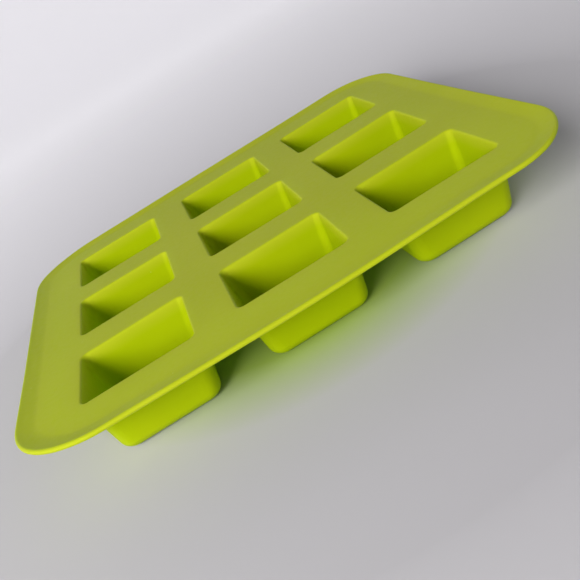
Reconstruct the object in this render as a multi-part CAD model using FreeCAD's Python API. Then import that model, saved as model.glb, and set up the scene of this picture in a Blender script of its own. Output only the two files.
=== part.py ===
"""Soap mould tray: one flexible silicone moulding with nine block-shaped cavities.

The moulding is divided into its named regions, one solid each, that meet face to face:
the flat deck sheet, the raised lip round it, the rounded bead on its edge, and nine cups.
Frame: millimetres, +Z up, origin on the table plane below the middle of the tray,
+X along the longer side, +Y away from the front row.
"""
import FreeCAD, Part
import math
import os

Vector = FreeCAD.Vector

# Cavities: the mouth of each one, at the top of the deck
MOUTH_X = 50.0
MOUTH_Y = 42.0
MOUTH_CORNER_RADIUS = 3.0
PITCH_X = 69.5
PITCH_Y = 63.5
COLUMNS = {"left": -1, "middle": 0, "right": 1}
ROWS = {"front": -1, "middle": 0, "back": 1}

# Heights above the table
DECK_TOP = 30.5
DECK_THICKNESS = 2.0
FLOOR_THICKNESS = 1.5

# Cup shell: the walls lean in towards the floor
WALL_THICKNESS = 1.5
WALL_LEAN = 3.9
CUP_CORNER_RADIUS_TOP = 4.5
CUP_CORNER_RADIUS_BASE = 6.5
CUP_BASE_ROUNDING = 4.5
CAVITY_CORNER_RADIUS_BASE = 5.0
CAVITY_BASE_ROUNDING = 3.0

# Flange outside the cavities
BORDER_X = 27.5
BORDER_Y = 26.5
OUTLINE_CORNER_RADIUS = 36.0
LIP_WIDTH = 8.5
LIP_RISE = 1.7
BEAD_WIDTH = 2.0
BEAD_THICKNESS = 2.2

DECK_BOTTOM = DECK_TOP - DECK_THICKNESS
HALF_X = PITCH_X + MOUTH_X / 2 + BORDER_X
HALF_Y = PITCH_Y + MOUTH_Y / 2 + BORDER_Y
CREASE_HALF_X = HALF_X - LIP_WIDTH
CREASE_HALF_Y = HALF_Y - LIP_WIDTH
CREASE_RADIUS = OUTLINE_CORNER_RADIUS - LIP_WIDTH


def rounded_rectangle(half_x, half_y, radius, height, centre=(0.0, 0.0)):
    """Closed wire of four straight sides and four corner arcs, at one height."""
    sides = []
    corners = []
    for quarter in range(4):
        start_angle = math.radians(90 * quarter)
        sign_x = 1 if quarter in (0, 3) else -1
        sign_y = 1 if quarter in (0, 1) else -1
        middle = Vector(centre[0] + sign_x * (half_x - radius), centre[1] + sign_y * (half_y - radius), height)
        arc_points = []
        for step in range(3):
            angle = start_angle + step * math.pi / 4
            arc_points.append(middle + Vector(radius * math.cos(angle), radius * math.sin(angle), 0))
        corners.append(arc_points)
    edges = []
    for quarter in range(4):
        edges.append(Part.Arc(*corners[quarter]).toShape())
        edges.append(Part.LineSegment(corners[quarter][2], corners[(quarter + 1) % 4][0]).toShape())
    return Part.Wire(edges)


def leaning_block(top, base, centre):
    """Solid between two rounded rectangles, each given as half x, half y, corner radius, height."""
    wires = [rounded_rectangle(*section, centre) for section in (base, top)]
    return Part.makeLoft(wires, True, True)


def round_base_edges(block, height, radius):
    """Rounds the edges that lie in the horizontal plane at the given height."""
    edges = []
    for edge in block.Edges:
        box = edge.BoundBox
        if abs(box.ZMin - height) < 1e-6 and abs(box.ZMax - height) < 1e-6:
            edges.append(edge)
    return block.makeFillet(radius, edges)


def half_size_at(mouth_half, height, offset):
    """Half width of the leaning cup wall at a height, offset outwards from the cavity's mouth."""
    lean = WALL_LEAN * (DECK_TOP - height) / DECK_TOP
    return mouth_half + offset - lean


def cup_outside(centre):
    """Outer form of one cup, from the table up to the underside of the deck."""
    sections = []
    for height, radius in ((DECK_BOTTOM, CUP_CORNER_RADIUS_TOP), (0.0, CUP_CORNER_RADIUS_BASE)):
        half_x = half_size_at(MOUTH_X / 2, height, WALL_THICKNESS)
        half_y = half_size_at(MOUTH_Y / 2, height, WALL_THICKNESS)
        sections.append((half_x, half_y, radius, height))
    return round_base_edges(leaning_block(*sections, centre), 0.0, CUP_BASE_ROUNDING)


def cavity(centre):
    """The space that the soap fills, from the cup's floor up to the top of the deck."""
    sections = []
    for height, radius in ((DECK_TOP, MOUTH_CORNER_RADIUS), (FLOOR_THICKNESS, CAVITY_CORNER_RADIUS_BASE)):
        half_x = half_size_at(MOUTH_X / 2, height, 0.0)
        half_y = half_size_at(MOUTH_Y / 2, height, 0.0)
        sections.append((half_x, half_y, radius, height))
    return round_base_edges(leaning_block(*sections, centre), FLOOR_THICKNESS, CAVITY_BASE_ROUNDING)


def ring(section):
    """Carries a closed section round the crease line; it gives (outwards, height) points and arcs."""
    def section_wire(place, outwards):
        edges = []
        for piece in section:
            points = [place + outwards * u + Vector(0, 0, z) for u, z in piece]
            if len(points) == 3:
                edges.append(Part.Arc(*points).toShape())
            else:
                edges.append(Part.LineSegment(*points).toShape())
        return Part.Wire(edges)

    straight_x = CREASE_HALF_X - CREASE_RADIUS
    straight_y = CREASE_HALF_Y - CREASE_RADIUS
    pieces = []
    for quarter in range(4):
        angle = math.radians(90 * quarter)
        outwards = Vector(round(math.cos(angle)), round(math.sin(angle)), 0)
        along = Vector(-outwards.y, outwards.x, 0)
        reach = CREASE_HALF_X if outwards.x else CREASE_HALF_Y
        half_run = straight_y if outwards.x else straight_x
        start = outwards * reach - along * half_run
        face = Part.Face(section_wire(start, outwards))
        pieces.append(face.extrude(along * (2 * half_run)))
        corner_face = Part.Face(section_wire(outwards * reach + along * half_run, outwards))
        corner_centre = outwards * (reach - CREASE_RADIUS) + along * half_run
        pieces.append(corner_face.revolve(corner_centre, Vector(0, 0, 1), 90))
    joined = pieces[0].multiFuse(pieces[1:]).removeSplitter()
    return joined.Solids[0]


def deck():
    """Flat sheet inside the crease line, with the mouths of the cavities cut through it."""
    outline = rounded_rectangle(CREASE_HALF_X, CREASE_HALF_Y, CREASE_RADIUS, DECK_BOTTOM)
    sheet = Part.Face(outline).extrude(Vector(0, 0, DECK_THICKNESS))
    for centre in cup_centres().values():
        sheet = sheet.cut(cavity(centre))
    return sheet.Solids[0]


def lip_height(outwards):
    """Height of the middle of the lip, which rises from the crease line to the bead."""
    return DECK_TOP - DECK_THICKNESS / 2 + LIP_RISE * outwards / LIP_WIDTH


def lip():
    """Band that slopes up from the deck to the bead."""
    inner = 0.0
    outer = LIP_WIDTH - BEAD_WIDTH
    half = DECK_THICKNESS / 2
    corners = [(inner, lip_height(inner) - half), (outer, lip_height(outer) - half),
               (outer, lip_height(outer) + half), (inner, lip_height(inner) + half)]
    return ring([(corners[i], corners[(i + 1) % 4]) for i in range(4)])


def bead():
    """Rounded edge, a little thicker than the sheet."""
    inner = LIP_WIDTH - BEAD_WIDTH
    half = BEAD_THICKNESS / 2
    height = lip_height(inner) + LIP_RISE * BEAD_WIDTH / LIP_WIDTH / 2
    shoulder = LIP_WIDTH - half
    low = height - half
    high = height + half
    return ring([((inner, low), (shoulder, low)), ((shoulder, low), (LIP_WIDTH, height), (shoulder, high)),
                 ((shoulder, high), (inner, high)), ((inner, high), (inner, low))])


def cup_centres():
    """Node name to centre, row by row from the front left."""
    centres = {}
    for row, row_step in ROWS.items():
        for column, column_step in COLUMNS.items():
            centres[f"cup_{row}_{column}"] = (column_step * PITCH_X, row_step * PITCH_Y)
    return centres


def build():
    nodes = {"deck_sheet": deck(), "rim_lip": lip(), "edge_bead": bead()}
    for name, centre in cup_centres().items():
        nodes[name] = cup_outside(centre).cut(cavity(centre)).Solids[0]
    return nodes


os.makedirs("parts", exist_ok=True)
for node, shape in build().items():
    shape.exportStep(f"parts/{node}.step")
    print(node, "valid", shape.isValid(), "solids", len(shape.Solids), "volume", round(shape.Volume, 1))
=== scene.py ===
"""Silicone soap mould tray: the finished look of one flexible moulding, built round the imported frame.

Every region of the moulding is one closed mesh. Neighbouring regions share their edge points, and
the shading normals are taken from the whole moulding, so the skin runs on across them.
Lengths of the moulding are in millimetres, and MM turns them into metres. Those of the floor, the
lights, the camera and the materials' noise are in metres.
"""
import bmesh
import bpy
import math
import numpy as np
from mathutils import Matrix, Vector, noise


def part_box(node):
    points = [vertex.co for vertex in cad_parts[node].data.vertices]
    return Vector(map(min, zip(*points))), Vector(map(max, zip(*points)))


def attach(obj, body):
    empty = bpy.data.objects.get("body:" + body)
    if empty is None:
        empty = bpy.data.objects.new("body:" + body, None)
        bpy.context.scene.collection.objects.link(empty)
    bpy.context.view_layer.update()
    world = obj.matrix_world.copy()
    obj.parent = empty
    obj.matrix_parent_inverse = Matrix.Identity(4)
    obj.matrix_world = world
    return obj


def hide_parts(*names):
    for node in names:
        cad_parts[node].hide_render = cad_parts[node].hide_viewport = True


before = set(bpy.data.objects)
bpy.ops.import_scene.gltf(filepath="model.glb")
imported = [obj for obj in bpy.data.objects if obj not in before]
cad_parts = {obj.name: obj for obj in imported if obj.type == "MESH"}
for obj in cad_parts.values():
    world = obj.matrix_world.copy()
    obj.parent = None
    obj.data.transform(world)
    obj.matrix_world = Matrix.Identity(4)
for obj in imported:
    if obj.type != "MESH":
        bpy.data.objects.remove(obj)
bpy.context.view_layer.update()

MM = 0.001


def box_mm(node):
    """Lowest and highest corner of a CAD node, in millimetres."""
    low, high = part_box(node)
    return np.array(low) / MM, np.array(high) / MM


# ---------------------------------------------------------------- sizes read from the frame
deck_low, deck_high = box_mm("deck_sheet")
bead_low, bead_high = box_mm("edge_bead")
DECK_TOP = deck_high[2]
DECK_BOTTOM = deck_low[2]
DECK_THICKNESS = DECK_TOP - DECK_BOTTOM
CREASE_HALF = deck_high[:2]
OUTLINE_HALF = bead_high[:2]
RIM_WIDTH = OUTLINE_HALF[0] - CREASE_HALF[0]
BEAD_THICKNESS = bead_high[2] - bead_low[2]

ROWS = ("front", "middle", "back")
COLUMNS = ("left", "middle", "right")
GRID = (-1, 0, 1)
cup_low, cup_high = box_mm("cup_middle_middle")
CUP_HALF = (cup_high[:2] - cup_low[:2]) / 2
corner_low, corner_high = box_mm("cup_back_right")
PITCH = (corner_low[:2] + corner_high[:2]) / 2


def cup_centre(column, row):
    """Middle of a cup; column and row count from the middle one."""
    return (column * PITCH[0], row * PITCH[1])


# ---------------------------------------------------------------- shape of the cups and the rim
WALL = 1.5
LEAN = 3.9
MOUTH_HALF = CUP_HALF - WALL + LEAN * DECK_THICKNESS / DECK_TOP
MOUTH_RADIUS = 3.0
MOUTH_ROUNDING = 1.0
CAVITY_BASE_RADIUS = 5.0
CAVITY_BASE_ROUNDING = 3.0
FLOOR = 1.5
CUP_TOP_RADIUS = 4.5
CUP_BASE_RADIUS = 6.5
CUP_BASE_ROUNDING = 4.5
COLLAR = 1.6
OUTLINE_RADIUS = 36.0
BEAD_WIDTH = 2.0
# The lip starts to rise at CREASE_START out from the crease line, and is straight after CREASE_SPREAD more
RIM_SLOPE = 0.18
CREASE_SPREAD = 2.6
CREASE_START = -0.6
# Distance out from the crease line where the lip starts to thicken towards the bead
SWELL_START = 4.6

# Mesh steps: along a cup's long and short sides, round one corner, and across each band of the skin
SIDE_STEPS = (20, 18)
CORNER_STEPS = 8
DECK_STEPS = 4
MOUTH_STEPS = 5
WALL_STEPS = 7
CAVITY_ROUNDING_STEPS = 6
COLLAR_STEPS = 5
FOOT_STEPS = 7
CREASE_STEPS = 2
LIP_STEPS = 12
BEAD_FLAT_STEPS = 3
BEAD_STEPS = 14
# Deck round the block of cavities that keeps to their grid, and the length of side given to a corner
CELL_MARGIN = 5.0
CORNER_ALLOTMENT = 8.0
# The mouth's rounding stops a little short of upright, where the leaning wall takes over
MOUTH_TURN = 84
SMALLEST_RADIUS = 0.6
# Two places closer than SAME_PLACE are one; points are welded where they round to the same WELD_STEP
SAME_PLACE = 1e-9
WELD_STEP = 1e-4

# Bending of the whole tray: rise at BEND_REACH from the middle
BEND_REACH = 100.0
BEND_X = 0.45
BEND_Y = 0.45
TWIST = 0.18
# Outward lean of the cups' feet, in millimetres for each millimetre from the middle
SPLAY = 0.012
# The flange sits to one side of the cups; the shift is whole at SHIFT_END inside its outline
FLANGE_SHIFT = 1.6
SHIFT_END = 4.0
# Sag of the front edge, which fades to nothing at FRONT_REACH either side of the middle
FRONT_SAG = 1.2
FRONT_REACH = 105.0
# Sag of the back edge's left, from BACK_REACH[0] to BACK_REACH[1] left of the middle
BACK_SAG = 0.6
BACK_REACH = (20.0, 90.0)
# Slow waves and finer ripples of the skin: height, and how much of a noise cell one millimetre covers
WAVE_HEIGHT, WAVE_RATE = 0.18, 0.02
RIPPLE_HEIGHT, RIPPLE_RATE, RIPPLE_RATE_UP = 0.06, 0.06, 0.05
RIPPLE_OFFSET = 40


# ---------------------------------------------------------------- outlines
def arc_steps(start, stop, steps):
    """Angles in radians, from start to stop degrees."""
    return np.radians(np.linspace(start, stop, steps + 1))


def rounded_ring(half, radius, height, centre=(0.0, 0.0)):
    """Rounded rectangle as one closed row of points, from the middle of one corner to the next."""
    rows = []
    for quarter in range(4):
        turn = math.radians(90 * quarter)
        along_half = half[1] if quarter % 2 == 0 else half[0]
        reach = half[0] if quarter % 2 == 0 else half[1]
        side_steps = SIDE_STEPS[1] if quarter % 2 == 0 else SIDE_STEPS[0]
        first = arc_steps(-45, 0, CORNER_STEPS // 2)
        last = arc_steps(0, 45, CORNER_STEPS // 2)
        straight = np.linspace(-(along_half - radius), along_half - radius, side_steps + 1)
        out = np.concatenate([reach - radius + radius * np.cos(first), np.full(side_steps - 1, reach),
                              reach - radius + radius * np.cos(last)])
        along = np.concatenate([-(along_half - radius) + radius * np.sin(first), straight[1:-1],
                                along_half - radius + radius * np.sin(last)])
        cosine, sine = round(math.cos(turn)), round(math.sin(turn))
        row = np.column_stack([out * cosine - along * sine, out * sine + along * cosine])
        rows.append(row[:-1])
    flat = np.concatenate(rows) + np.array(centre)
    return np.column_stack([flat, np.full(len(flat), height)])


def side_fractions(cell_half, side_steps):
    """Places along one side of a cell, from -1 to 1, closer together near its ends."""
    inner = 1 - CORNER_ALLOTMENT / cell_half
    half_corner = CORNER_STEPS // 2
    return np.concatenate([np.linspace(-1, -inner, half_corner + 1),
                           np.linspace(-inner, inner, side_steps + 1)[1:],
                           np.linspace(inner, 1, half_corner + 1)[1:]])


def cell_ring(column, row, height):
    """The rectangle of deck that belongs to one cavity, with a point for each point of its mouth."""
    low, high = [], []
    for axis, step in ((0, column), (1, row)):
        edge = PITCH[axis] + MOUTH_HALF[axis] + CELL_MARGIN
        low.append(-edge if step == -1 else (step - 0.5) * PITCH[axis])
        high.append(edge if step == 1 else (step + 0.5) * PITCH[axis])
    middle = [(low[axis] + high[axis]) / 2 for axis in (0, 1)]
    half = [(high[axis] - low[axis]) / 2 for axis in (0, 1)]
    up = middle[1] + half[1] * side_fractions(half[1], SIDE_STEPS[1])
    right = middle[0] + half[0] * side_fractions(half[0], SIDE_STEPS[0])
    points = [(high[0], y) for y in up[:-1]]
    points += [(x, high[1]) for x in right[::-1][:-1]]
    points += [(low[0], y) for y in up[::-1][:-1]]
    points += [(x, low[1]) for x in right[:-1]]
    return np.array([(x, y, height) for x, y in points])


def block_ring(height):
    """Outer edge of the block of cells, in the same order as the crease line's points."""

    def side(axis, quarter_cells, fixed, reverse):
        points = []
        for column, row in quarter_cells:
            cell = cell_ring(column, row, height)
            on_side = cell[np.abs(cell[:, 1 - axis] - fixed) < SAME_PLACE]
            on_side = on_side[np.argsort(on_side[:, axis])]
            points.append(on_side if not points else on_side[1:])
        row_points = np.concatenate(points)
        return row_points[::-1][:-1] if reverse else row_points[:-1]

    edge_x, edge_y = PITCH + MOUTH_HALF + CELL_MARGIN
    return np.concatenate([
        side(1, [(1, row) for row in GRID], edge_x, False),
        side(0, [(column, 1) for column in GRID], edge_y, True),
        side(1, [(-1, row) for row in GRID], -edge_x, True),
        side(0, [(column, -1) for column in GRID], -edge_y, False)])


def crease_line():
    """Points of the crease line and the outward direction at each, one for each point of block_ring."""
    radius = OUTLINE_RADIUS - RIM_WIDTH
    block = block_ring(0.0)
    edges = PITCH + MOUTH_HALF + CELL_MARGIN
    points, directions = [], []
    for quarter in range(4):
        along_axis = 1 if quarter % 2 == 0 else 0
        turn = math.radians(90 * quarter)
        cosine, sine = round(math.cos(turn)), round(math.sin(turn))
        reach = CREASE_HALF[1 - along_axis] - radius
        straight = CREASE_HALF[along_axis] - radius
        length = straight + radius * math.pi / 4
        block_edge = (cosine + sine) * edges[1 - along_axis]
        here = block[np.abs(block[:, 1 - along_axis] - block_edge) < SAME_PLACE]
        fractions = np.sort(here[:, along_axis]) / edges[along_axis]
        for fraction in fractions[fractions < 1 - SAME_PLACE]:
            place = fraction * length
            angle = 0.0
            if abs(place) > straight:
                angle = math.copysign((abs(place) - straight) / radius, place)
            along = max(-straight, min(straight, place))
            out_direction = (math.cos(angle), math.sin(angle))
            local = (reach + radius * out_direction[0], along + radius * out_direction[1])
            points.append((local[0] * cosine - local[1] * sine, local[0] * sine + local[1] * cosine))
            directions.append((out_direction[0] * cosine - out_direction[1] * sine,
                               out_direction[0] * sine + out_direction[1] * cosine))
    return np.array(points), np.array(directions)


CREASE, OUTWARD = crease_line()


def rim_ring(outwards, height):
    """Closed row of points at a distance out from the crease line."""
    flat = CREASE + OUTWARD * outwards
    return np.column_stack([flat, np.full(len(flat), height)])


# ---------------------------------------------------------------- patches of skin
class Region:
    """One closed mesh: patches of skin, and patches where it meets its neighbours."""

    def __init__(self, name, node):
        self.name = name
        self.node = node
        self.quads = []
        self.joint = []

    def add(self, rows, joint=False, wrap=True):
        """Joins each row of points to the next with quads; a joint patch is where a neighbour meets."""
        for lower, upper in zip(rows[:-1], rows[1:]):
            count = len(lower)
            for k in range(count if wrap else count - 1):
                n = (k + 1) % count
                self.quads.append((lower[k], lower[n], upper[n], upper[k]))
                self.joint.append(joint)

    def add_cap(self, ring):
        """Fills a closed ring with a grid of quads, by blending its four sides."""
        counts = (SIDE_STEPS[1] + CORNER_STEPS, SIDE_STEPS[0] + CORNER_STEPS)
        right = ring[:counts[0] + 1]
        top = ring[counts[0]:counts[0] + counts[1] + 1][::-1]
        left = ring[counts[0] + counts[1]:2 * counts[0] + counts[1] + 1][::-1]
        bottom = np.concatenate([ring[2 * counts[0] + counts[1]:], ring[:1]])
        rows = []
        for j in range(counts[0] + 1):
            v = j / counts[0]
            row = []
            for i in range(counts[1] + 1):
                u = i / counts[1]
                point = (1 - u) * left[j] + u * right[j] + (1 - v) * bottom[i] + v * top[i]
                point = point - ((1 - u) * (1 - v) * bottom[0] + u * (1 - v) * bottom[-1]
                                 + (1 - u) * v * top[0] + u * v * top[-1])
                row.append(point)
            rows.append(np.array(row))
        self.add(rows, wrap=False)


def blend_rows(first, last, steps):
    """Rows of points spaced evenly from the first row to the last."""
    return [first + (last - first) * k / steps for k in range(steps + 1)]


def cavity_section(height):
    """Half size and corner radius of the cavity's wall at a height."""
    share = (DECK_TOP - height) / DECK_TOP
    return MOUTH_HALF - LEAN * share, MOUTH_RADIUS + (CAVITY_BASE_RADIUS - MOUTH_RADIUS) * share


def cup_section(height):
    """Half size and corner radius of the cup's outer wall at a height."""
    share = (DECK_TOP - height) / DECK_TOP
    radius = CUP_TOP_RADIUS + (CUP_BASE_RADIUS - CUP_TOP_RADIUS) * share
    return MOUTH_HALF + WALL - LEAN * share, radius


def cup_ring(height, centre, spread=0.0):
    """The cup's outer wall at a height, spread outwards, or drawn in where the spread is negative."""
    half, radius = cup_section(height)
    return rounded_ring(half + spread, radius + spread, height, centre)


def collar_ring(centre):
    """Where the cup's collar runs out into the underside of the deck."""
    return cup_ring(DECK_BOTTOM, centre, COLLAR)


def cavity_ring(height, centre, inset=0.0):
    """The cavity's wall at a height, drawn in by an inset."""
    half, radius = cavity_section(height)
    return rounded_ring(half - inset, max(radius - inset, SMALLEST_RADIUS), height, centre)


def mouth_rows(centre):
    """Rounded edge of a cavity's mouth, from the flat deck round into the wall."""
    half, radius = cavity_section(DECK_TOP)
    rows = []
    for angle in arc_steps(0, MOUTH_TURN, MOUTH_STEPS):
        spread = MOUTH_ROUNDING * (1 - math.sin(angle))
        depth = MOUTH_ROUNDING * (1 - math.cos(angle))
        rows.append(rounded_ring(half + spread, radius + spread, DECK_TOP - depth, centre))
    return rows


def rim_rise(outwards):
    """How far the middle of the rim has risen above the deck's, at a distance out from the crease."""
    into = outwards - CREASE_START
    if into <= 0:
        return 0.0
    if into < CREASE_SPREAD:
        return RIM_SLOPE * into * into / (2 * CREASE_SPREAD)
    return RIM_SLOPE * (into - CREASE_SPREAD / 2)


def rim_half_thickness(outwards):
    """Half the thickness of the rim, which swells smoothly from the deck's to the bead's."""
    swell_length = RIM_WIDTH - BEAD_THICKNESS / 2 - SWELL_START
    swell = min(max((outwards - SWELL_START) / swell_length, 0.0), 1.0)
    swell = swell * swell * (3 - 2 * swell)
    return DECK_THICKNESS / 2 + (BEAD_THICKNESS - DECK_THICKNESS) / 2 * swell


def rim_height(outwards, side):
    """Height of the rim's upper (+1) or lower (-1) skin."""
    middle = DECK_TOP - DECK_THICKNESS / 2 + rim_rise(outwards)
    return middle + side * rim_half_thickness(outwards)


def rim_rows(first, last, side, steps):
    """Rows of the rim's upper or lower skin, from one distance out to another."""
    places = np.linspace(first, last, steps + 1)
    return [rim_ring(place, rim_height(place, side)) for place in places]


def rim_joint(place):
    """Where two regions of the rim meet: the upper row and the lower one."""
    return [rim_ring(place, rim_height(place, 1)), rim_ring(place, rim_height(place, -1))]


# ---------------------------------------------------------------- the regions
def add_cavity(region, centre):
    """The inside of a cup: its wall below the deck, the rounding at its foot, and its floor."""
    floor_start = FLOOR + CAVITY_BASE_ROUNDING
    wall = [cavity_ring(height, centre) for height in np.linspace(DECK_BOTTOM, floor_start, WALL_STEPS + 1)]
    rounding = []
    for angle in arc_steps(0, 90, CAVITY_ROUNDING_STEPS):
        height = floor_start - CAVITY_BASE_ROUNDING * math.sin(angle)
        rounding.append(cavity_ring(height, centre, CAVITY_BASE_ROUNDING * (1 - math.cos(angle))))
    region.add(wall)
    region.add(rounding)
    region.add_cap(rounding[-1])


def add_outer_wall(region, centre):
    """The outside of a cup: the flare of its collar, its wall, the rounding at its foot, and its base."""
    flare = []
    for angle in arc_steps(0, 90, COLLAR_STEPS):
        height = DECK_BOTTOM - COLLAR * (1 - math.cos(angle))
        flare.append(cup_ring(height, centre, COLLAR * (1 - math.sin(angle))))
    heights = np.linspace(DECK_BOTTOM - COLLAR, CUP_BASE_ROUNDING, WALL_STEPS + 1)
    foot = []
    for angle in arc_steps(0, 90, FOOT_STEPS):
        height = CUP_BASE_ROUNDING * (1 - math.sin(angle))
        foot.append(cup_ring(height, centre, -CUP_BASE_ROUNDING * (1 - math.cos(angle))))
    region.add(flare)
    region.add([cup_ring(height, centre) for height in heights])
    region.add(foot)
    region.add_cap(foot[-1])


def cup_region(name, centre):
    region = Region("silicone_" + name, name)
    add_cavity(region, centre)
    add_outer_wall(region, centre)
    region.add([collar_ring(centre), cavity_ring(DECK_BOTTOM, centre)], joint=True)
    return region


def deck_region():
    region = Region("silicone_deck", "deck_sheet")
    for row in GRID:
        for column in GRID:
            centre = cup_centre(column, row)
            mouth = mouth_rows(centre)
            collar = collar_ring(centre)
            cavity = cavity_ring(DECK_BOTTOM, centre)
            region.add(blend_rows(cell_ring(column, row, DECK_TOP), mouth[0], DECK_STEPS))
            region.add(mouth)
            region.add([mouth[-1], cavity])
            region.add([cavity, collar], joint=True)
            region.add(blend_rows(collar, cell_ring(column, row, DECK_BOTTOM), DECK_STEPS))
    for side, level in ((1, DECK_TOP), (-1, DECK_BOTTOM)):
        rows = blend_rows(block_ring(level), rim_ring(CREASE_START, level), DECK_STEPS)
        for outwards in np.linspace(CREASE_START, 0.0, CREASE_STEPS + 1)[1:]:
            rows.append(rim_ring(outwards, rim_height(outwards, side)))
        region.add(rows)
    region.add(rim_joint(0.0), joint=True)
    return region


def lip_region():
    region = Region("silicone_rim", "rim_lip")
    last = RIM_WIDTH - BEAD_WIDTH
    for side in (1, -1):
        region.add(rim_rows(0.0, last, side, LIP_STEPS))
    for place in (0.0, last):
        region.add(rim_joint(place), joint=True)
    return region


def bead_region():
    region = Region("silicone_edge", "edge_bead")
    first = RIM_WIDTH - BEAD_WIDTH
    half = BEAD_THICKNESS / 2
    centre_out = RIM_WIDTH - half
    centre_height = DECK_TOP - DECK_THICKNESS / 2 + rim_rise(centre_out)
    tilt = math.atan(RIM_SLOPE)
    tilts = tilt * np.cos(np.linspace(0, math.pi, BEAD_STEPS + 1)) * 0.5
    rows = rim_rows(first, centre_out, 1, BEAD_FLAT_STEPS)[:-1]
    for angle in arc_steps(90, -90, BEAD_STEPS) + tilts + tilt * 0.5:
        rows.append(rim_ring(centre_out + half * math.cos(angle), centre_height + half * math.sin(angle)))
    rows += rim_rows(first, centre_out, -1, BEAD_FLAT_STEPS)[:-1][::-1]
    region.add(rows)
    region.add(rim_joint(first), joint=True)
    return region


# ---------------------------------------------------------------- bending and unevenness
def bend_rise(x, y):
    """How far the bent tray has risen above the straight one."""
    return (BEND_X * x * x + BEND_Y * y * y + TWIST * x * y) / BEND_REACH ** 2


def smooth_step(low, high, value):
    """Share of the way from low to high, from 0 to 1, level at both ends."""
    share = np.clip((value - low) / (high - low), 0.0, 1.0)
    return share * share * (3 - 2 * share)


def uneven(points, rate, rate_up, offset):
    """Smooth noise at each point."""
    cells = points * (rate, rate, rate_up) + (offset, 0, 0)
    return np.array([noise.noise(Vector(cell)) for cell in cells])


def flexed(points):
    """Takes points of the straight moulding to where they lie on the real, slightly bent one."""
    x, y, z = points.T
    below = DECK_TOP - z
    foot_share = np.clip(below / DECK_TOP, 0.0, 1.0)
    height_share = np.clip(z / DECK_TOP, 0.0, 1.0)
    cups_half = PITCH + MOUTH_HALF

    slope_x = (2 * BEND_X * x + TWIST * y) / BEND_REACH ** 2
    slope_y = (2 * BEND_Y * y + TWIST * x) / BEND_REACH ** 2
    beyond_cups = smooth_step(cups_half[0] + WALL, OUTLINE_HALF[0] - SHIFT_END, np.abs(x))
    moved_x = x + slope_x * below + SPLAY * x * foot_share - FLANGE_SHIFT * beyond_cups * height_share
    moved_y = y + slope_y * below + SPLAY * y * foot_share

    wave = WAVE_HEIGHT * uneven(points, WAVE_RATE, WAVE_RATE, 0)
    ripple = RIPPLE_HEIGHT * uneven(points, RIPPLE_RATE, RIPPLE_RATE_UP, RIPPLE_OFFSET)
    front_share = smooth_step(CREASE_HALF[1] - 1, OUTLINE_HALF[1], -y)
    front_share *= np.cos(math.pi / 2 * np.clip(x / FRONT_REACH, -1, 1)) ** 2
    back_share = smooth_step(cups_half[1], OUTLINE_HALF[1], y) * smooth_step(*BACK_REACH, -x)
    sag = FRONT_SAG * front_share + BACK_SAG * back_share
    moved_z = z + bend_rise(x, y) + (wave + ripple) * height_share - sag * height_share
    return np.column_stack([moved_x, moved_y, moved_z])


# ---------------------------------------------------------------- from patches to meshes
def welded(region):
    """Points, the key of each point's place, faces, and a flag for each face that meets a neighbour."""
    corners = np.array(region.quads).reshape(-1, 3)
    rounded = np.round(corners / WELD_STEP).astype(np.int64)
    keys, first, index = np.unique(rounded, axis=0, return_index=True, return_inverse=True)
    faces, joint = [], []
    for quad, at_joint in zip(index.reshape(-1, 4), region.joint):
        face = [v for k, v in enumerate(quad) if v != quad[k - 1]]
        if len(face) >= 3:
            faces.append(face)
            joint.append(at_joint)
    return corners[first], keys, faces, joint


def mesh_of(region):
    """The region's closed mesh, with its faces turned outwards, and the key of each point."""
    points, keys, faces, joint = welded(region)
    mesh = bpy.data.meshes.new(region.name)
    mesh.from_pydata((flexed(points) * MM).tolist(), [], faces)
    work = bmesh.new()
    work.from_mesh(mesh)
    flag = work.faces.layers.int.new("joint")
    for face, value in zip(work.faces, joint):
        face[flag] = int(value)
    bmesh.ops.recalc_face_normals(work, faces=work.faces)
    work.to_mesh(mesh)
    work.free()
    return mesh, keys


def share_normals(made):
    """Gives every region's skin the normals of the whole moulding, so no line shows between regions."""
    totals = {}
    for mesh, keys in made:
        key_list = [tuple(key) for key in keys]
        flags = mesh.attributes["joint"].data
        for polygon in mesh.polygons:
            if flags[polygon.index].value:
                continue
            weighted = np.array(polygon.normal) * polygon.area
            for vertex in polygon.vertices:
                key = key_list[vertex]
                totals[key] = totals.get(key, 0) + weighted
    for mesh, keys in made:
        key_list = [tuple(key) for key in keys]
        flags = mesh.attributes["joint"].data
        normals = [None] * len(mesh.loops)
        for polygon in mesh.polygons:
            for loop in polygon.loop_indices:
                if flags[polygon.index].value:
                    normals[loop] = polygon.normal
                else:
                    total = totals[key_list[mesh.loops[loop].vertex_index]]
                    normals[loop] = Vector(total / np.linalg.norm(total))
        mesh.shade_smooth()
        mesh.normals_split_custom_set(normals)


# ---------------------------------------------------------------- material
def new_material(name):
    material = bpy.data.materials.new(name)
    material.use_nodes = True
    nodes = material.node_tree.nodes
    nodes.clear()
    return material, nodes, material.node_tree.links


def noise_share(nodes, links, coordinates, scale, detail, roughness=0.5):
    """Smooth noise from 0 to 1."""
    node = nodes.new("ShaderNodeTexNoise")
    node.inputs["Scale"].default_value = scale
    node.inputs["Detail"].default_value = detail
    node.inputs["Roughness"].default_value = roughness
    links.new(coordinates.outputs["Object"], node.inputs["Vector"])
    return node.outputs["Fac"]


def ranged(nodes, links, source, low, high, to_low=0.0, to_high=1.0):
    """Takes a source between low and high to a number between to_low and to_high."""
    node = nodes.new("ShaderNodeMapRange")
    node.inputs["From Min"].default_value = low
    node.inputs["From Max"].default_value = high
    node.inputs["To Min"].default_value = to_low
    node.inputs["To Max"].default_value = to_high
    links.new(source, node.inputs["Value"])
    return node.outputs["Result"]


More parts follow.
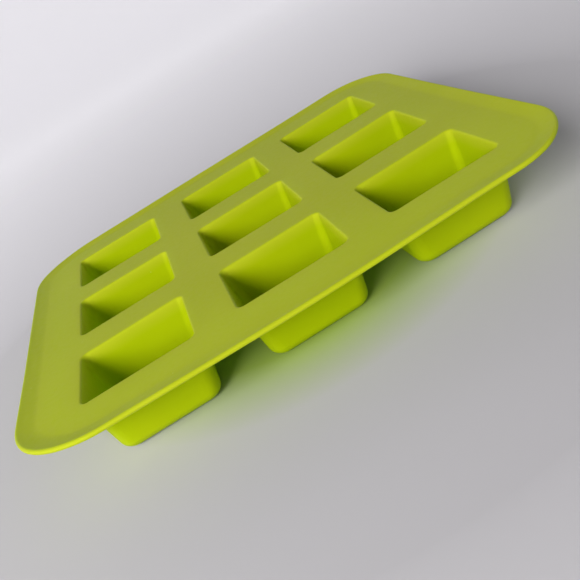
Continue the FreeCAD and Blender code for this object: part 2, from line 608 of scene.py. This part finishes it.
def eased_share(nodes, links, source, low, high, power):
    """Share of the way from low to high, from 0 to 1, raised to a power."""
    eased = nodes.new("ShaderNodeMath")
    eased.operation = "POWER"
    eased.inputs[1].default_value = power
    links.new(ranged(nodes, links, source, low, high), eased.inputs[0])
    return eased.outputs["Value"]


def colour_mix(nodes, links, factor, first, second):
    """Mixes two colours; each is three numbers or an output."""
    node = nodes.new("ShaderNodeMix")
    node.data_type = "RGBA"
    links.new(factor, node.inputs["Factor"])
    for socket, colour in ((node.inputs[6], first), (node.inputs[7], second)):
        if isinstance(colour, tuple):
            socket.default_value = (*colour, 1.0)
        else:
            links.new(colour, socket)
    return node.outputs[2]


def split_place(nodes, links, source):
    """The three parts of a place or a colour."""
    node = nodes.new("ShaderNodeSeparateXYZ")
    links.new(source, node.inputs["Vector"])
    return node.outputs


# ---------------------------------------------------------------- silicone
# Linear colours: two greens inside the cups, two paler ones on the deck, whose paleness is a painted sheen of
# the pale room on the upward faces with some dust bloom, and one for fine mottling
PLAIN_GREENS = ((0.450, 0.523, 0.0022), (0.422, 0.500, 0.0018))
SHEEN_DUST_GREENS = ((0.520, 0.545, 0.020), (0.492, 0.520, 0.015))
MOTTLE_GREEN = (0.46, 0.55, 0.01)
MOTTLE_SHARE = 0.12
SPECK_COLOUR = (0.66, 0.72, 0.22)
SPECK_SHARE = 0.5
# Green light that the skin lets through, and its share of the whole
THROUGH_GREEN = (0.63, 0.94, 0.001, 1.0)
THROUGH_SHARE = 0.31
SHEEN_TINT = (0.75, 1.0, 0.02, 1.0)
SILICONE_IOR = 1.41
SILICONE_ROUGHNESS = (0.44, 0.58)
# Heights between which the plain colour gives way to the paler one, a painted sheen with some dust, towards
# the deck's top
SHEEN_DUST_LOW = (DECK_BOTTOM - 4) * MM
SHEEN_DUST_HIGH = (DECK_TOP - 1.2) * MM
# Noise sizes, as cells to a metre
BROAD_SCALE, FINE_SCALE, GRAIN_SCALE, SPECK_SCALE = 22.0, 420.0, 2600.0, 160.0
GRAIN_DEPTH = 0.00006
GRAIN_STRENGTH = 0.25
# A cell has a speck where its random number is past SPECK_CHANCE; the speck fades out over SPECK_EDGE
SPECK_CHANCE = (0.90, 0.92)
SPECK_EDGE = (0.035, 0.055)


def speck_share(nodes, links, coordinates):
    """Sparse round specks: one in a few chosen Voronoi cells."""
    cells = nodes.new("ShaderNodeTexVoronoi")
    cells.inputs["Scale"].default_value = SPECK_SCALE
    links.new(coordinates.outputs["Object"], cells.inputs["Vector"])
    chosen = split_place(nodes, links, cells.outputs["Color"])
    rare = ranged(nodes, links, chosen["X"], *SPECK_CHANCE)
    dot = ranged(nodes, links, cells.outputs["Distance"], *SPECK_EDGE, SPECK_SHARE, 0.0)
    speck = nodes.new("ShaderNodeMath")
    speck.operation = "MULTIPLY"
    links.new(rare, speck.inputs[0])
    links.new(dot, speck.inputs[1])
    return speck.outputs["Value"]


def silicone_colour(nodes, links, coordinates, fine):
    """Lime green, paler towards the deck with a painted sheen and some dust, mottled and specked."""
    broad = noise_share(nodes, links, coordinates, BROAD_SCALE, 2.0)
    broad_share = ranged(nodes, links, broad, 0.35, 0.65)
    plain = colour_mix(nodes, links, broad_share, *PLAIN_GREENS)
    sheen_dusty = colour_mix(nodes, links, broad_share, *SHEEN_DUST_GREENS)
    height = split_place(nodes, links, coordinates.outputs["Object"])["Z"]
    # painted sheen: the higher faces take the paler greens, which stand for the room's sheen on the deck,
    # with some dust
    colour = colour_mix(nodes, links, ranged(nodes, links, height, SHEEN_DUST_LOW, SHEEN_DUST_HIGH), plain, sheen_dusty)
    mottle = ranged(nodes, links, fine, 0.45, 0.75, 0.0, MOTTLE_SHARE)
    colour = colour_mix(nodes, links, mottle, colour, MOTTLE_GREEN)
    return colour_mix(nodes, links, speck_share(nodes, links, coordinates), colour, SPECK_COLOUR)


def silicone_material():
    material, nodes, links = new_material("lime_silicone")
    coordinates = nodes.new("ShaderNodeTexCoord")
    fine = noise_share(nodes, links, coordinates, FINE_SCALE, 4.0, 0.6)
    grain = noise_share(nodes, links, coordinates, GRAIN_SCALE, 3.0, 0.6)
    bump = nodes.new("ShaderNodeBump")
    bump.inputs["Strength"].default_value = GRAIN_STRENGTH
    bump.inputs["Distance"].default_value = GRAIN_DEPTH
    links.new(grain, bump.inputs["Height"])
    skin = nodes.new("ShaderNodeBsdfPrincipled")
    links.new(silicone_colour(nodes, links, coordinates, fine), skin.inputs["Base Color"])
    links.new(ranged(nodes, links, fine, 0.3, 0.7, *SILICONE_ROUGHNESS), skin.inputs["Roughness"])
    links.new(bump.outputs["Normal"], skin.inputs["Normal"])
    skin.inputs["IOR"].default_value = SILICONE_IOR
    skin.inputs["Specular Tint"].default_value = SHEEN_TINT
    through = nodes.new("ShaderNodeBsdfTranslucent")
    through.inputs["Color"].default_value = THROUGH_GREEN
    both = nodes.new("ShaderNodeMixShader")
    both.inputs["Fac"].default_value = THROUGH_SHARE
    links.new(skin.outputs["BSDF"], both.inputs[1])
    links.new(through.outputs["BSDF"], both.inputs[2])
    output = nodes.new("ShaderNodeOutputMaterial")
    links.new(both.outputs["Shader"], output.inputs["Surface"])
    return material


# ---------------------------------------------------------------- the moulding
regions = [deck_region(), lip_region(), bead_region()]
for row, row_name in zip(GRID, ROWS):
    for column, column_name in zip(GRID, COLUMNS):
        regions.append(cup_region(f"cup_{row_name}_{column_name}", cup_centre(column, row)))

silicone = silicone_material()
made = [mesh_of(region) for region in regions]
share_normals(made)
for region, (mesh, keys) in zip(regions, made):
    piece = bpy.data.objects.new(region.name, mesh)
    bpy.context.scene.collection.objects.link(piece)
    mesh.materials.append(silicone)
    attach(piece, "root")
    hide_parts(region.node)


# ---------------------------------------------------------------- floor that curves up into a backdrop
# Sizes of the floor and its backdrop, in metres
FLOOR_RADIUS = 2.0
BACKDROP_CURVE = 1.2
BACKDROP_HEIGHT = 2.4
FLOOR_TURNS = 96
FLOOR_RINGS = 12
SMALLEST_RING = 0.05
# Linear colours: near the tray, a paler grey of painted light far to the back left, and a painted green
# shadow beneath the tray, standing for the green light let through the silicone
NEAR_GREYS = ((0.432, 0.421, 0.438), (0.442, 0.431, 0.448))
PAINTED_LIGHT_GREY = (0.74, 0.73, 0.76)
PAINTED_SHADOW_GREEN = (0.33, 0.43, 0.09)
# The painted light's grey comes in as Y plus LEFTWARD of X grows, and the painted green shadow as the middle
# gets nearer
LEFTWARD = -0.5
PAINTED_LIGHT_RANGE = (-0.28, 1.0)
PAINTED_LIGHT_POWER = 0.65
PAINTED_SHADOW_RANGE = (0.120, 0.082)
# Stand-in for the light of a bright room on the far floor and the backdrop, by distance from the middle
GLOW_COLOUR = (0.98, 0.965, 1.0, 1.0)
GLOW_STRENGTH = 0.40
GLOW_RANGE = (0.20, 1.0)
GLOW_POWER = 0.60
FLOOR_ROUGHNESS = 0.75
FLOOR_SPECULAR = 0.2


def floor_colour(nodes, links, coordinates, distance):
    """Pale grey, with painted light making it paler towards the back left, and a painted green shadow beneath
    the tray.
    """
    soft = noise_share(nodes, links, coordinates, 6.0, 2.0)
    near = colour_mix(nodes, links, ranged(nodes, links, soft, 0.3, 0.7), *NEAR_GREYS)
    place = split_place(nodes, links, coordinates.outputs["Object"])
    # painted light: the floor grows paler towards the back left, standing for the fall of the room's light
    back_left = nodes.new("ShaderNodeMath")
    back_left.operation = "MULTIPLY_ADD"
    back_left.inputs[1].default_value = LEFTWARD
    links.new(place["X"], back_left.inputs[0])
    links.new(place["Y"], back_left.inputs[2])
    painted_light_share = eased_share(nodes, links, back_left.outputs["Value"], *PAINTED_LIGHT_RANGE, PAINTED_LIGHT_POWER)
    colour = colour_mix(nodes, links, painted_light_share, near, PAINTED_LIGHT_GREY)
    # painted shadow: the floor turns green beneath the tray, standing for its shade and the green light
    # through the silicone
    painted_shadow_share = ranged(nodes, links, distance, *PAINTED_SHADOW_RANGE)
    return colour_mix(nodes, links, painted_shadow_share, colour, PAINTED_SHADOW_GREEN)


def floor_material():
    material, nodes, links = new_material("pale_floor")
    coordinates = nodes.new("ShaderNodeTexCoord")
    length = nodes.new("ShaderNodeVectorMath")
    length.operation = "LENGTH"
    links.new(coordinates.outputs["Object"], length.inputs[0])
    distance = length.outputs["Value"]
    farther = eased_share(nodes, links, distance, *GLOW_RANGE, GLOW_POWER)
    shader = nodes.new("ShaderNodeBsdfPrincipled")
    links.new(floor_colour(nodes, links, coordinates, distance), shader.inputs["Base Color"])
    shader.inputs["Emission Color"].default_value = GLOW_COLOUR
    links.new(ranged(nodes, links, farther, 0.0, 1.0, 0.0, GLOW_STRENGTH), shader.inputs["Emission Strength"])
    shader.inputs["Roughness"].default_value = FLOOR_ROUGHNESS
    shader.inputs["Specular IOR Level"].default_value = FLOOR_SPECULAR
    output = nodes.new("ShaderNodeOutputMaterial")
    links.new(shader.outputs["BSDF"], output.inputs["Surface"])
    return material


def floor_profile():
    """Distance from the middle and height of each ring of the floor's surface."""
    profile = [(radius, 0.0) for radius in np.linspace(SMALLEST_RING, FLOOR_RADIUS, FLOOR_RINGS)]
    for angle in arc_steps(0, 90, FLOOR_RINGS)[1:]:
        radius = FLOOR_RADIUS + BACKDROP_CURVE * math.sin(angle)
        profile.append((radius, BACKDROP_CURVE * (1 - math.cos(angle))))
    profile.append((FLOOR_RADIUS + BACKDROP_CURVE, BACKDROP_HEIGHT))
    return profile


def studio_floor():
    profile = floor_profile()
    vertices = [(0.0, 0.0, 0.0)]
    for radius, height in profile:
        for k in range(FLOOR_TURNS):
            angle = 2 * math.pi * k / FLOOR_TURNS
            vertices.append((radius * math.cos(angle), radius * math.sin(angle), height))
    faces = [(0, 1 + k, 1 + (k + 1) % FLOOR_TURNS) for k in range(FLOOR_TURNS)]
    for ring_index in range(len(profile) - 1):
        base = 1 + ring_index * FLOOR_TURNS
        for k in range(FLOOR_TURNS):
            n = (k + 1) % FLOOR_TURNS
            faces.append((base + k, base + FLOOR_TURNS + k, base + FLOOR_TURNS + n, base + n))
    mesh = bpy.data.meshes.new("studio_floor")
    mesh.from_pydata(vertices, [], faces)
    mesh.shade_smooth()
    mesh.materials.append(floor_material())
    floor = bpy.data.objects.new("studio_floor", mesh)
    bpy.context.scene.collection.objects.link(floor)
    return floor


studio_floor()


# ---------------------------------------------------------------- light
# One soft lamp to the front left, aimed at the tray, and a faint even light from the room
KEY_PLACE = (-0.92, -1.12, 0.73)
KEY_SIZE = 0.90
KEY_POWER = 34.5
KEY_COLOUR = (1.0, 0.995, 0.98)
ROOM_COLOUR = (0.97, 0.97, 1.0, 1.0)
ROOM_STRENGTH = 0.09


def key_light():
    data = bpy.data.lights.new("key_light", "AREA")
    data.shape = "DISK"
    data.size = KEY_SIZE
    data.energy = KEY_POWER
    data.color = KEY_COLOUR
    lamp = bpy.data.objects.new("key_light", data)
    lamp.location = KEY_PLACE
    lamp.rotation_euler = (-Vector(KEY_PLACE)).to_track_quat("-Z", "Y").to_euler()
    lamp.visible_camera = False
    bpy.context.scene.collection.objects.link(lamp)


def room_light():
    world = bpy.data.worlds.new("studio")
    world.use_nodes = True
    background = world.node_tree.nodes["Background"]
    background.inputs["Color"].default_value = ROOM_COLOUR
    background.inputs["Strength"].default_value = ROOM_STRENGTH
    bpy.context.scene.world = world


key_light()
room_light()
bpy.context.scene.view_settings.view_transform = "Standard"


# ---------------------------------------------------------------- camera
# Angles in degrees, distances in metres, and the lens in millimetres
CAMERA_AZIMUTH = -2.64
CAMERA_ELEVATION = 26.39
CAMERA_ROLL = 30.85
CAMERA_DISTANCE = 0.2600
CAMERA_AIM = (-0.0048, -0.0940, 0.0305)
CAMERA_LENS = 43.53


def make_camera():
    azimuth, elevation = math.radians(CAMERA_AZIMUTH), math.radians(CAMERA_ELEVATION)
    level = Vector((math.sin(azimuth), -math.cos(azimuth), 0.0))
    back = level * math.cos(elevation) + Vector((0.0, 0.0, math.sin(elevation)))
    data = bpy.data.cameras.new("camera")
    data.lens = CAMERA_LENS
    data.clip_start = 0.01
    camera = bpy.data.objects.new("camera", data)
    camera.location = Vector(CAMERA_AIM) + back * CAMERA_DISTANCE
    upright = (-back).to_track_quat("-Z", "Y")
    camera.rotation_mode = "QUATERNION"
    roll = Matrix.Rotation(math.radians(CAMERA_ROLL), 4, -back).to_quaternion()
    camera.rotation_quaternion = roll @ upright
    bpy.context.scene.collection.objects.link(camera)
    bpy.context.scene.camera = camera


make_camera()
